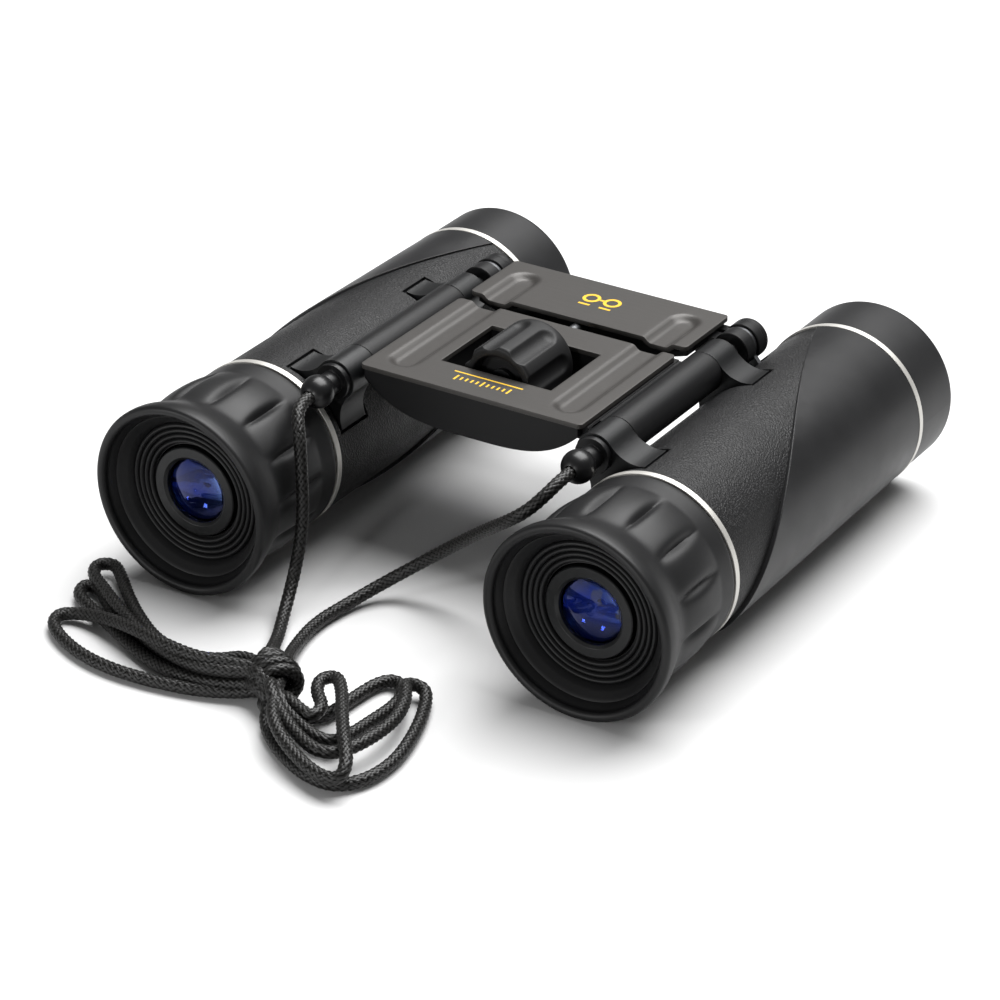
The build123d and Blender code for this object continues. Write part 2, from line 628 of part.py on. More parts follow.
def screw_bush():
    rear = WINDOW[1] + 0.3
    return on_screw(ring(BUSH_R, SCREW_R + RUN_FIT, rear, REAR_PLATE[1] - 0.2) & block(
        -BUSH_R, BUSH_R, rear, REAR_PLATE[1], -BUSH_R, PLATE_UNDER - WHEEL_Z))


def carriage():
    """Moving block under the front plate, with two ear rings each side that grip the drive arms."""
    body = slab(keel_outline(CARRIAGE_Z, PLATE_UNDER), *CARRIAGE)
    body -= block(-NUT_HALF, NUT_HALF, NUT[0], NUT[1], WHEEL_Z - NUT_HALF, PLATE_TOP)
    body -= on_screw(rod(SCREW_R + 0.3, CARRIAGE[0] - 1, SCREW_FRONT + FOCUS_TRAVEL + 0.3))
    for side in (-1, 1):
        hub = Pos(side * HINGE_X, 0, HINGE_Z)
        inner = sorted((side * (KEEL_EDGE[0] - 2.4), side * KEEL_EDGE[0]))
        body += block(inner[0], inner[1], EAR[0], EAR_FRONT[1], HINGE_Z - 1.6, PLATE_UNDER - 0.3)
        reach = sorted((side * (KEEL_EDGE[0] - 0.5), side * (HINGE_X - 2)))
        for rear, front in (EAR, EAR_FRONT):
            body += block(reach[0], reach[1], rear, front, HINGE_Z - 1.6, HINGE_Z + 1.6)
        body += hub * (rod(EAR_R, *EAR) + rod(EAR_FRONT_R, *EAR_FRONT))
        body -= hub * rod(EAR_FRONT_R + 0.3, EAR[1], EAR_FRONT[0])
        body -= hub * rod(ROD_R, EAR[0] - 1, EAR_FRONT[1] + 1)
    return body - trough_relief()


def focus_nut():
    nut = block(-NUT_HALF, NUT_HALF, NUT[0], NUT[1], WHEEL_Z - NUT_HALF, PLATE_UNDER)
    return nut - on_screw(rod(SCREW_R + RUN_FIT, NUT[0] - 1, NUT[1] + 1))


def focus_rod():
    return on_hinge(rod(ROD_R, ROD_REAR, EAR_FRONT[1] + ROD_TIP))


def rod_cap():
    rear = EAR_FRONT[1]
    cap = rod(CAP_R, rear, rear + CAP_T)
    cap = fillet(cap.edges().sort_by(Axis.Y)[-1], CAP_ROUND)
    return on_hinge(cap - rod(ROD_R, rear - 1, rear + ROD_TIP))


def focus_drive():
    keep("focus_wheel", focus_wheel())
    keep("focus_screw", focus_screw())
    keep("wheel_cap_screw", wheel_cap_screw())
    keep("screw_bush", screw_bush())
    keep("front_cover_plate", cover_plate(*FRONT_PLATE))
    keep("focus_carriage", carriage())
    keep("focus_nut", focus_nut())
    keep_pair("focus_rod", focus_rod())
    keep_pair("rod_cap", rod_cap())


# ---------------------------------------------------------------- neck cord
def strand(exit_point, route):
    """Tube along a route: straight runs joined by arcs as large as the runs allow."""
    points = [Vector(exit_point)] + [Vector(point) for point in route]
    radii = []
    for before, corner, after in zip(points, points[1:], points[2:]):
        half_turn = math.radians((corner - before).get_angle(after - corner)) / 2
        shorter = min((corner - before).length, (after - corner).length)
        radii.append(0.45 * shorter / math.tan(half_turn))
    path = FilletPolyline(*points, radius=radii)
    tube = sweep(Plane(origin=path @ 0, z_dir=path % 0) * Circle(CORD_D / 2), path=path)
    print("cord arcs", [round(radius, 1) for radius in radii], "length", round(path.length, 1),
          "volume over section times length", round(tube.volume / (math.pi * CORD_D**2 / 4 * path.length), 4))
    return tube


def knot():
    """Lump of the outer shape of the knot, flattened where it lies on the floor."""
    lump = Pos(*KNOT, KNOT_HEIGHT / 2) * scale(Sphere(KNOT_R), by=(1, 1, KNOT_HEIGHT / 2 / KNOT_R + 0.08))
    return lump & Pos(*KNOT, KNOT_HEIGHT / 2) * Box(4 * KNOT_R, 4 * KNOT_R, KNOT_HEIGHT)


def loops(outline, height):
    """Low solid of the outer shape of one fan of loops."""
    return extrude(make_face(Spline(*outline, periodic=True)), amount=height)


def neck_cord():
    lump = knot()
    keep("left_cord_strand", strand((-HINGE_X, at(SOCKET), HINGE_Z), LEFT_ROUTE) - lump)
    keep("right_cord_strand", strand((HINGE_X, at(SOCKET), HINGE_Z), RIGHT_ROUTE) - lump)
    keep("cord_knot", lump)
    keep("left_cord_loops", loops(LEFT_LOOPS, LEFT_LOOPS_HEIGHT) - lump)
    keep("right_cord_loops", loops(RIGHT_LOOPS, RIGHT_LOOPS_HEIGHT) - lump)


def main():
    barrels()
    bridge()
    focus_drive()
    neck_cord()
    os.makedirs("parts", exist_ok=True)
    for name, piece in nodes.items():
        export_step(piece, os.path.join("parts", name + ".step"))


main()
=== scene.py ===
# %% [markdown]
# Compact folding binoculars, lying open on a pale table with their neck cord dropped beside them. The
# hard parts come from a CAD model that is already packed as a fixed frame. This script dresses it: it
# gives every surface a real material, and builds in mesh code what a CAD solid shows too plainly.

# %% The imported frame
import json
import math

import bmesh
import bpy
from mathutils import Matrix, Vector

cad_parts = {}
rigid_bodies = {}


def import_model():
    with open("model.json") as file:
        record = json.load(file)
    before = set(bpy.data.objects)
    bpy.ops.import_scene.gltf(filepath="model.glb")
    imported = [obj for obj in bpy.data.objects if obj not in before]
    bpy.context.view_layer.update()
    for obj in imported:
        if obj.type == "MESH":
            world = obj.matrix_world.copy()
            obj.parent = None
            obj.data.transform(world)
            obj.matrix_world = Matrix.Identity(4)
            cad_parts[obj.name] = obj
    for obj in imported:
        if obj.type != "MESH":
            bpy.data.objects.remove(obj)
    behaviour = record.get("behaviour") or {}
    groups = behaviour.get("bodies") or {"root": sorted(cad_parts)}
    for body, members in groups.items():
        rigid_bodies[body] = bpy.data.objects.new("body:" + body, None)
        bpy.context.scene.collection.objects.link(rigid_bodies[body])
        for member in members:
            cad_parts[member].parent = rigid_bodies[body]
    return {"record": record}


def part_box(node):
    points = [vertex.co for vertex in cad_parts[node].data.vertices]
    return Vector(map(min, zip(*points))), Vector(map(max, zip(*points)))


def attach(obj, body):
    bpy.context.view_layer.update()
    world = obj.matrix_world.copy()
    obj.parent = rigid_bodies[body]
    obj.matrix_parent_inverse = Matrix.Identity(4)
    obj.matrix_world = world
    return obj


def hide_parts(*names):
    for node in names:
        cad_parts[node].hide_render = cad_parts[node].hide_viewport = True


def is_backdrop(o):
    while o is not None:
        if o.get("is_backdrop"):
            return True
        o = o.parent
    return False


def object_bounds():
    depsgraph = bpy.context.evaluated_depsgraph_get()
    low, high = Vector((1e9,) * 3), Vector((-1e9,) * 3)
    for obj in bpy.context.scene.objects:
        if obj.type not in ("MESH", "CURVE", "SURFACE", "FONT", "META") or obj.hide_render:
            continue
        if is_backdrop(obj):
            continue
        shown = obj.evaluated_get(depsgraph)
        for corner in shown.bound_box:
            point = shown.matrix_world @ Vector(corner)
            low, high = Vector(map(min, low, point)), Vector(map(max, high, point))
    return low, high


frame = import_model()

cad_box = [list(corner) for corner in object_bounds()]

# %% [markdown]
# All lengths on the object are easiest to read in millimetres, and Blender works in metres. The places
# come from the frame: the barrel axes from the mounts at the objective ends, the wheel's axis from its
# joint.

# %% Units and places
MM = 0.001
mounts = {mount["name"]: mount for mount in frame["record"]["mounts"]}
joints = {joint["name"]: joint for joint in frame["record"]["behaviour"]["joints"]}
rim_low, rim_high = (Vector(corner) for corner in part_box("right_eyecup"))
REAR = rim_low.y
RIM_R = (rim_high.x - rim_low.x) / 2 / MM
SIDES = ("left", "right")
AXIS = {side: Vector(mounts["objective_bore_" + side]["pos_m"]) for side in SIDES}
WHEEL_AXIS = Vector(joints["focus_turn"]["pos_m"])
print("barrel axes", [tuple(round(v / MM, 1) for v in AXIS[side]) for side in SIDES],
      "rim radius", round(RIM_R, 2))

# %% [markdown]
# The camera looks down at the eyepieces from the front right, from far enough away that the two barrels
# look almost parallel. It is aimed at a point between the hinges.

# %% Camera
AIM = Vector((0.00704, -0.02288, 0.01758))
AZIMUTH, ELEVATION = math.radians(32.16), math.radians(27.97)
DISTANCE = 0.6157
back = Vector((math.sin(AZIMUTH) * math.cos(ELEVATION), -math.cos(AZIMUTH) * math.cos(ELEVATION),
               math.sin(ELEVATION)))
camera_data = bpy.data.cameras.new("camera")
camera_data.lens = 137.7
camera_data.sensor_width = 36.0
camera = bpy.data.objects.new("camera", camera_data)
camera.location = AIM + back * DISTANCE
camera.rotation_euler = back.to_track_quat("Z", "Y").to_euler()
bpy.context.collection.objects.link(camera)
bpy.context.scene.camera = camera
print("camera at", [round(v, 3) for v in camera.location])

# %% [markdown]
# Colours are picked as sRGB hex values, as a paint program shows them, and Blender's shaders want linear
# light. One function turns one into the other. A second one adds a shader node with its settings and
# links, which keeps each material down to the few lines that say what it is.

# %% Colour and node helpers
def linear(hex_colour):
    """Linear RGBA of an sRGB hex colour."""
    channels = [int(hex_colour[at:at + 2], 16) / 255 for at in (1, 3, 5)]
    return [c / 12.92 if c <= 0.04045 else ((c + 0.055) / 1.055) ** 2.4 for c in channels] + [1.0]


def add(tree, kind, settings=(), **inputs):
    """Add a shader node. Inputs are values or (node, output name) links, with underscores for spaces."""
    made = tree.nodes.new("ShaderNode" + kind)
    for name, value in dict(settings).items():
        setattr(made, name, value)
    for name, value in inputs.items():
        by_number = name[0] == "i" and name[1:].isdigit()
        socket = made.inputs[int(name[1:])] if by_number else made.inputs[name.replace("_", " ")]
        if isinstance(value, tuple) and isinstance(value[0], bpy.types.Node):
            tree.links.new(value[0].outputs[value[1]], socket)
        else:
            socket.default_value = value
    return made


def surface(name):
    """A new material: its node tree, its main shader and the object-space position, in metres."""
    material = bpy.data.materials.new(name)
    material.use_nodes = True
    tree = material.node_tree
    shader = tree.nodes["Principled BSDF"]
    place = add(tree, "TexCoord")
    return material, tree, shader, (place, "Object")


def scaled(tree, place, x, y, z):
    """Object space counted in pattern cells: one cell is x by y by z millimetres."""
    mapping = add(tree, "Mapping", Vector=place, Scale=(1 / (x * MM), 1 / (y * MM), 1 / (z * MM)))
    return mapping, "Vector"


def relief(tree, shader, height, depth_mm, edge_mm=0.0):
    """Bump from a 0 to 1 height, over softened edges where edge_mm is set."""
    bump = add(tree, "Bump", Height=height, Distance=depth_mm * MM, Strength=1.0)
    if edge_mm:
        edges = add(tree, "Bevel", {"samples": 6}, Radius=edge_mm * MM)
        tree.links.new(edges.outputs["Normal"], bump.inputs["Normal"])
    tree.links.new(bump.outputs["Normal"], shader.inputs["Normal"])


# %% [markdown]
# The neck cord is one length of thin braided nylon. It leaves the drilled ball on the left hinge, drops
# to the table, is bunched into loops that are tied round with its own middle, and runs back up to the
# ball on the right hinge. Its line is one smooth spline through a list of points, because a limp cord has
# no straight runs. The loops began as points that a separate measuring script printed, and a little over
# half of those were then changed by hand. The strands of the braid are laid round that line afterwards.

# %% Route of the cord
LEFT_STRAND = [
    (-0.0247, -0.0284, 0.0308), (-0.0247, -0.0318, 0.0309), (-0.0236, -0.0355, 0.0302),
    (-0.0214, -0.0379, 0.0270), (-0.0203, -0.0393, 0.0225), (-0.0196, -0.0401, 0.0170),
    (-0.0194, -0.0411, 0.0115), (-0.0191, -0.0438, 0.0058), (-0.0176, -0.0488, 0.0019),
    (-0.0142, -0.0556, 0.0013), (-0.0112, -0.0620, 0.0028), (-0.0082, -0.0672, 0.0044)]
RIGHT_STRAND = [
    (-0.0052, -0.0662, 0.0044), (-0.0074, -0.0626, 0.0030), (-0.0104, -0.0562, 0.0014),
    (-0.0121, -0.0482, 0.0012), (-0.0112, -0.0400, 0.0012), (-0.0084, -0.0340, 0.0029),
    (-0.0034, -0.0314, 0.0066), (0.0026, -0.0314, 0.0114), (0.0084, -0.0334, 0.0162),
    (0.0138, -0.0364, 0.0206), (0.0184, -0.0388, 0.0242), (0.0220, -0.0388, 0.0270),
    (0.0240, -0.0365, 0.0294), (0.0247, -0.0329, 0.0308), (0.0247, -0.0284, 0.0308)]
LEFT_LOOP_HIGH = [
    (-0.0084, -0.0680, 0.0046), (-0.0125, -0.0673, 0.0044), (-0.0156, -0.0694, 0.0038),
    (-0.0210, -0.0706, 0.0034), (-0.0279, -0.0689, 0.0032), (-0.0344, -0.0647, 0.0030),
    (-0.0410, -0.0592, 0.0026), (-0.0467, -0.0537, 0.0022), (-0.0502, -0.0507, 0.0020),
    (-0.0527, -0.0522, 0.0020), (-0.0512, -0.0556, 0.0022), (-0.0465, -0.0588, 0.0026),
    (-0.0409, -0.0627, 0.0030), (-0.0333, -0.0675, 0.0034), (-0.0258, -0.0711, 0.0038),
    (-0.0181, -0.0736, 0.0042), (-0.0118, -0.0731, 0.0048), (-0.0078, -0.0713, 0.0050)]
LEFT_LOOP_LOW = [
    (-0.0072, -0.0696, 0.0036), (-0.0116, -0.0704, 0.0028), (-0.0164, -0.0722, 0.0020),
    (-0.0229, -0.0710, 0.0014), (-0.0298, -0.0685, 0.0013), (-0.0365, -0.0658, 0.0012),
    (-0.0428, -0.0621, 0.0012), (-0.0476, -0.0580, 0.0012), (-0.0512, -0.0574, 0.0012),
    (-0.0502, -0.0610, 0.0012), (-0.0455, -0.0634, 0.0012), (-0.0399, -0.0660, 0.0012),
    (-0.0332, -0.0695, 0.0012), (-0.0267, -0.0722, 0.0013), (-0.0199, -0.0738, 0.0018),
    (-0.0134, -0.0736, 0.0024), (-0.0078, -0.0720, 0.0032)]
LEFT_LOOP_WIDE = [
    (-0.0058, -0.0717, 0.0026), (-0.0097, -0.0730, 0.0016), (-0.0155, -0.0752, 0.0012),
    (-0.0228, -0.0767, 0.0012), (-0.0305, -0.0772, 0.0012), (-0.0375, -0.0762, 0.0012),
    (-0.0439, -0.0735, 0.0012), (-0.0478, -0.0706, 0.0012), (-0.0487, -0.0677, 0.0012),
    (-0.0463, -0.0663, 0.0014), (-0.0423, -0.0664, 0.0022), (-0.0376, -0.0676, 0.0034),
    (-0.0305, -0.0702, 0.0048), (-0.0237, -0.0722, 0.0054), (-0.0176, -0.0728, 0.0054),
    (-0.0125, -0.0718, 0.0056), (-0.0071, -0.0706, 0.0056)]
RIGHT_LOOP_INNER = [
    (0.0003, -0.0744, 0.0032), (0.0021, -0.0739, 0.0019), (0.0040, -0.0729, 0.0013),
    (0.0055, -0.0710, 0.0012), (0.0061, -0.0675, 0.0012), (0.0063, -0.0634, 0.0012),
    (0.0067, -0.0593, 0.0012), (0.0080, -0.0566, 0.0012), (0.0103, -0.0567, 0.0012),
    (0.0123, -0.0593, 0.0013), (0.0131, -0.0635, 0.0014), (0.0130, -0.0692, 0.0018),
    (0.0129, -0.0749, 0.0022), (0.0122, -0.0788, 0.0026), (0.0089, -0.0792, 0.0030),
    (0.0048, -0.0774, 0.0034), (0.0014, -0.0759, 0.0040)]
RIGHT_LOOP_WIDE = [
    (-0.0018, -0.0757, 0.0030), (-0.0007, -0.0782, 0.0015), (0.0034, -0.0818, 0.0012),
    (0.0083, -0.0848, 0.0012), (0.0133, -0.0868, 0.0012), (0.0178, -0.0870, 0.0012),
    (0.0204, -0.0844, 0.0012), (0.0217, -0.0806, 0.0012), (0.0218, -0.0756, 0.0012),
    (0.0206, -0.0701, 0.0012), (0.0188, -0.0645, 0.0012), (0.0166, -0.0595, 0.0012),
    (0.0146, -0.0566, 0.0018), (0.0120, -0.0588, 0.0032), (0.0153, -0.0630, 0.0034),
    (0.0172, -0.0684, 0.0034), (0.0176, -0.0738, 0.0036), (0.0170, -0.0790, 0.0038),
    (0.0156, -0.0824, 0.0038), (0.0128, -0.0836, 0.0038), (0.0088, -0.0822, 0.0040),
    (0.0044, -0.0796, 0.0044), (0.0009, -0.0771, 0.0048)]
RIGHT_LOOP_UPPER = [
    (0.0009, -0.0744, 0.0048), (0.0040, -0.0757, 0.0044), (0.0072, -0.0768, 0.0044),
    (0.0070, -0.0734, 0.0046), (0.0036, -0.0705, 0.0047), (0.0022, -0.0674, 0.0050),
    (0.0044, -0.0656, 0.0053), (0.0080, -0.0698, 0.0056), (0.0117, -0.0753, 0.0058),
    (0.0162, -0.0814, 0.0060), (0.0194, -0.0852, 0.0052), (0.0200, -0.0878, 0.0036),
    (0.0172, -0.0885, 0.0032), (0.0120, -0.0868, 0.0034), (0.0057, -0.0835, 0.0044),
    (0.0010, -0.0790, 0.0054)]
CORD_D = 0.0022
KNOT = Vector((-0.0052, -0.0694, 0.0041))
KNOT_AXIS = Vector((0.84, -0.54, 0.0)).normalized()
KNOT_TURNS, KNOT_TURN_R, KNOT_PITCH = 3.5, 0.0034, 0.0020
POINTS_A_TURN = 12


def knot_turns():
    """Turns of the cord round its own bunched middle, from the top of the knot, as points of its line."""
    up = Vector((0, 0, 1))
    across = KNOT_AXIS.cross(up)
    points = []
    steps = int(KNOT_TURNS * POINTS_A_TURN)
    for step in range(steps + 1):
        turn = 2 * math.pi * step / POINTS_A_TURN + math.pi / 2
        along = (step / steps - 0.5) * KNOT_TURNS * KNOT_PITCH
        swell = KNOT_TURN_R - 0.0006 * (2 * step / steps - 1) ** 2
        points.append(tuple(KNOT + KNOT_AXIS * along + across * (swell * math.cos(turn))
                            + up * (0.84 * swell * math.sin(turn))))
    return points


def turn_back(before, after, ahead):
    """Points of the short bight inside the knot that joins two runs lying on one side of it."""
    last, first = Vector(before[-1]), Vector(after[0])
    up = Vector((0, 0, 0.0012))
    return [tuple(last + ahead * 0.0022 + up), tuple((last + first) / 2 + ahead * 0.0046 + up),
            tuple((last + first) / 2 + ahead * 0.0048 - up), tuple(first + ahead * 0.0022 - up)]


LEFT_RUNS = [LEFT_STRAND, LEFT_LOOP_HIGH, LEFT_LOOP_LOW, LEFT_LOOP_WIDE]
RIGHT_RUNS = [RIGHT_LOOP_INNER, RIGHT_LOOP_WIDE, RIGHT_LOOP_UPPER]
cord_points = list(LEFT_STRAND)
for before, after in zip(LEFT_RUNS, LEFT_RUNS[1:]):
    cord_points += turn_back(before, after, KNOT_AXIS) + after
cord_points += knot_turns() + RIGHT_LOOP_INNER
for before, after in zip(RIGHT_RUNS, RIGHT_RUNS[1:]):
    cord_points += turn_back(before, after, -KNOT_AXIS) + after
cord_points += RIGHT_STRAND


def spline_line(points):
    """The smooth line of a spline with those control points, as a list of close points."""
    curve = bpy.data.curves.new("line", "CURVE")
    curve.dimensions = "3D"
    curve.resolution_u = 10
    spline = curve.splines.new("NURBS")
    spline.points.add(len(points) - 1)
    for point, place in zip(spline.points, points):
        point.co = (*place, 1.0)
    spline.order_u = 3
    spline.use_endpoint_u = True
    holder = bpy.data.objects.new("line", curve)
    bpy.context.collection.objects.link(holder)
    mesh = bpy.data.meshes.new_from_object(holder)
    line = [vertex.co.copy() for vertex in mesh.vertices]
    bpy.data.objects.remove(holder)
    bpy.data.curves.remove(curve)
    bpy.data.meshes.remove(mesh)
    return line


cord_line = spline_line(cord_points)
print("cord points", len(cord_points), "line points", len(cord_line))

# %% [markdown]
# A braid is two sets of yarns that wind round the cord in opposite directions and pass over and under
# each other. The cord is a close-meshed tube whose skin rises over each yarn where it lies on top and
# dips between them. The same height is kept as an attribute, so that the material can paint shade into
# the gaps.

# %% Braided cord
YARNS = 16
BRAID_PITCH = 9.0 * MM
SKIN_SIDES = 32
SKIN_STEP = 0.20 * MM
SKIN_RISE = 0.065


def frames_along(line, step):
    """Evenly spaced points of a line with a pair of cross directions that don't twist."""
    points, travelled, left = [line[0]], 0.0, 0.0
    for a, b in zip(line, line[1:]):
        run = (b - a).length
        while left + step <= travelled + run:
            left += step
            points.append(a.lerp(b, (left - travelled) / run))
        travelled += run
    side = (points[1] - points[0]).orthogonal().normalized()
    frames = []
    for number, point in enumerate(points):
        ahead = (points[min(number + 1, len(points) - 1)] - points[max(number - 1, 0)]).normalized()
        side = (side - ahead * side.dot(ahead)).normalized()
        frames.append((point, side, ahead.cross(side)))
    return frames


def yarn_height(turn, along):
    """Height of the braid's skin, 0 in a gap and 1 on a yarn's crown, at a turn (0 to 1) and a distance."""
    right = (turn + along / BRAID_PITCH) * YARNS / 2
    left = (turn - along / BRAID_PITCH) * YARNS / 2
    over = (math.floor(right) + math.floor(left)) % 2 == 0
    across, down = (right % 1, left % 1) if over else (left % 1, right % 1)
    return math.sqrt(math.sin(math.pi * across)) * (0.55 + 0.45 * math.sin(math.pi * down))


def braid(name, line, diameter):
    """Mesh of a braided cord round a line, with its yarn height as an attribute."""
    vertices, faces, heights = [], [], []
    frames = frames_along(line, SKIN_STEP)
    for number, (point, side, other) in enumerate(frames):
        for corner in range(SKIN_SIDES):
            turn = corner / SKIN_SIDES
            height = yarn_height(turn, number * SKIN_STEP)
            radius = diameter * (0.5 - SKIN_RISE * 2 * (1 - height))
            angle = 2 * math.pi * turn
            vertices.append(point + side * (radius * math.cos(angle)) + other * (radius * math.sin(angle)))
            heights.append(height)
    for ring in range(len(frames) - 1):
        for corner in range(SKIN_SIDES):
            near, far = ring * SKIN_SIDES, (ring + 1) * SKIN_SIDES
            after = (corner + 1) % SKIN_SIDES
            faces.append((near + corner, near + after, far + after, far + corner))
    faces.append(tuple(reversed(range(SKIN_SIDES))))
    faces.append(tuple(range(len(vertices) - SKIN_SIDES, len(vertices))))
    mesh = bpy.data.meshes.new(name)
    mesh.from_pydata(vertices, [], faces)
    mesh.attributes.new("yarn", "FLOAT", "POINT").data.foreach_set("value", heights)
    mesh.shade_smooth()
    piece = bpy.data.objects.new(name, mesh)
    bpy.context.collection.objects.link(piece)
    return piece


cord = braid("neck_cord", cord_line, CORD_D)
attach(cord, "bridge")
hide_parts("left_cord_strand", "right_cord_strand", "cord_knot", "left_cord_loops",
            "right_cord_loops")
print("cord faces", len(cord.data.polygons))

# %% [markdown]
# The eyecups and the focus wheel are turned shapes with something moulded into their skin, so one
# function turns a profile and lets a second one push each point out or in. Stations count forwards in mm
# from the rims of the eyecups.

# %% Turned shapes
def turned(name, centre, profile, segments, shaped):
    """Mesh of a closed (radius, station) profile in mm, turned round a line along Y and shaped."""
    vertices, faces = [], []
    for segment in range(segments):
        angle = 2 * math.pi * segment / segments
        for radius, station in profile:
            reach = shaped(radius, station, angle) * MM
            vertices.append((centre.x + reach * math.cos(angle), REAR + station * MM,
                             centre.z + reach * math.sin(angle)))
    count = len(profile)
    for segment in range(segments):
        here, there = segment * count, (segment + 1) % segments * count
        for step in range(count):
            after = (step + 1) % count
            faces.append((here + step, there + step, there + after, here + after))
    mesh = bpy.data.meshes.new(name)
    mesh.from_pydata(vertices, [], faces)
    work = bmesh.new()
    work.from_mesh(mesh)
    bmesh.ops.recalc_face_normals(work, faces=work.faces)
    work.to_mesh(mesh)
    work.free()
    mesh.shade_smooth()
    mesh.set_sharp_from_angle(angle=math.radians(48))
    piece = bpy.data.objects.new(name, mesh)
    bpy.context.collection.objects.link(piece)
    return piece


def rounded(centre, radius, first, last, steps=8):
    """Points of an arc in a profile: centre (radius, station), angles in degrees."""
    angles = [math.radians(first + (last - first) * step / steps) for step in range(steps + 1)]
    return [(centre[0] + radius * math.cos(a), centre[1] + radius * math.sin(a)) for a in angles]


def softer_max(a, b, blend):
    """The larger of two lengths, with the corner between them rounded over a blend length."""
    lap = max(blend - abs(a - b), 0.0) / blend
    return max(a, b) + lap * lap * blend / 4


def straight(start, end, steps):
    """Evenly spaced points of a profile between two points, the end left out."""
    across, ahead = end[0] - start[0], end[1] - start[1]
    return [(start[0] + across * step / steps, start[1] + ahead * step / steps) for step in range(steps)]


# %% [markdown]
# Each eyecup has a soft round lip, a flared outside that narrows to a waist, a sloping dark wall with one
# fine ring line, and a floor of four concentric ribs round the lens. The collar ahead of the waist swells
# into thirteen finger pads with slim leaf-shaped creases between them. The two cups are turned to
# different places, so their creases don't mirror.

# %% Eyecups
LIP_R = 0.85
WAIST = (14.8, 8.5)
FLARE_END = 1.3
COLLAR_END = 23.6
FLOOR, FLOOR_SLOPE = 4.2, 0.35
FLOOR_RIBS = 4
RIB_FIELD = (12.1, 8.35)
RIB_DEPTH = 0.7
PADS = 13
PADS_FROM_TO = (7.0, 19.6)
PAD_SWELL, CREASE_DIP, CREASE_HALF = 0.7, 0.3, 0.75
CREASE_AT = {"left": math.radians(57.6), "right": math.radians(46.0)}


def flare():
    """Outside of the cup from the waist back to the lip, as a smooth S."""
    points = []
    for step in range(13):
        t = step / 12
        spread = (3 * t * t - 2 * t**3) ** 0.92
        points.append((WAIST[0] + (RIM_R - WAIST[0]) * spread, WAIST[1] + (FLARE_END - WAIST[1]) * t))
    return points


def ribbed_floor():
    """Concentric ribs with round crests and narrow valleys, from the wall in to the eye hole."""
    points = []
    steps = FLOOR_RIBS * 10
    for step in range(steps + 1):
        t = step / steps
        crest = abs(math.sin(math.pi * FLOOR_RIBS * t)) ** 0.6
        radius = RIB_FIELD[0] + (RIB_FIELD[1] - RIB_FIELD[0]) * t
        points.append((radius, FLOOR + FLOOR_SLOPE * t + RIB_DEPTH * (1 - crest)))
    return points


def cup_profile():
    """Closed profile of the cup: collar, outside, lip, wall, floor and neck."""
    shoulder = (14.9, COLLAR_END - 0.4)
    outside = straight((14.8, COLLAR_END), shoulder, 2) + straight(shoulder, WAIST, 34) + flare()
    lip = rounded((RIM_R - LIP_R, LIP_R), LIP_R, 0, -180, 14)
    wall_in = RIM_R - 2 * LIP_R
    ring_line = [(wall_in - 0.78, 2.44), (wall_in - 0.92, 2.34)]
    wall = (straight((wall_in, 1.1), (wall_in - 0.75, 2.3), 4) + ring_line
            + straight((wall_in - 1.0, 2.38), (RIB_FIELD[0] + 0.15, 4.2), 5))
    neck = [(8.2, 5.2), (8.2, 8.8), (12.45, 8.9), (12.45, COLLAR_END)]
    return outside + lip + wall + ribbed_floor() + neck


def finger_pads(at):
    """Shaping function that swells the collar into finger pads, with a crease between each two."""
    middle, half = sum(PADS_FROM_TO) / 2, (PADS_FROM_TO[1] - PADS_FROM_TO[0]) / 2
    pitch = 2 * math.pi / PADS

    def shaped(radius, station, angle):
        if radius < 14.0 or station < 5:
            return radius
        leaf = max(1 - ((station - middle) / half) ** 2, 0.0)
        off = (angle - at + pitch / 2) % pitch - pitch / 2
        crease = math.exp(-(abs(off * radius) / CREASE_HALF) ** 1.4)
        return radius + leaf * (PAD_SWELL * (1 - crease) - CREASE_DIP * crease)

    return shaped


cups = {}
for side, body in (("left", "left_barrel"), ("right", "right_diopter")):
    cup = turned(side + "_soft_eyecup", AXIS[side], cup_profile(), PADS * 36, finger_pads(CREASE_AT[side]))
    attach(cup, body)
    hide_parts(side + "_eyecup")
    cups[side] = cup
print("eyecup profile points", len(cup_profile()), "faces", len(cup.data.polygons))

# %% [markdown]
# The focus wheel has eight wide soft flutes that run out before its front end. Its rear face is dished.

# %% Focus wheel
WHEEL_R = 6.8
WHEEL_ENDS = (37.5, 50.8)
FLUTES, FLUTE_R, FLUTE_DEPTH, FLUTE_STOP = 8, 2.5, 0.75, 46.9
FLUTE_FROM_TOP = math.radians(32.0)


def fluted(radius, station, angle):
    """Radius of the wheel's skin with its flutes scooped out."""
    pitch = 2 * math.pi / FLUTES
    off = (math.pi / 2 - angle - FLUTE_FROM_TOP + pitch / 2) % pitch - pitch / 2
    centre = WHEEL_R + FLUTE_R - FLUTE_DEPTH
    room = FLUTE_R**2 - (centre * math.sin(off)) ** 2 - max(station - FLUTE_STOP, 0.0) ** 2
    if radius < 5.5 or room <= 0:
        return radius
    return -softer_max(-radius, math.sqrt(room) - centre * math.cos(off), 0.3)


rear, front = WHEEL_ENDS
wheel_profile = [(1.1, rear + 2.2), (4.6, rear + 2.2), *rounded((5.35, rear + 0.35), 0.35, 180, 270, 4),
                 *rounded((WHEEL_R - 0.7, rear + 0.7), 0.7, 270, 360, 6),
                 *straight((WHEEL_R, rear + 0.9), (WHEEL_R, front - 1.4), 40),
                 *rounded((WHEEL_R - 1.3, front - 1.3), 1.3, 0, 90, 8), (1.1, front)]
wheel = turned("fluted_focus_wheel", WHEEL_AXIS, wheel_profile, FLUTES * 36, fluted)
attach(wheel, "focus_wheel")
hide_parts("focus_wheel")
print("wheel faces", len(wheel.data.polygons))

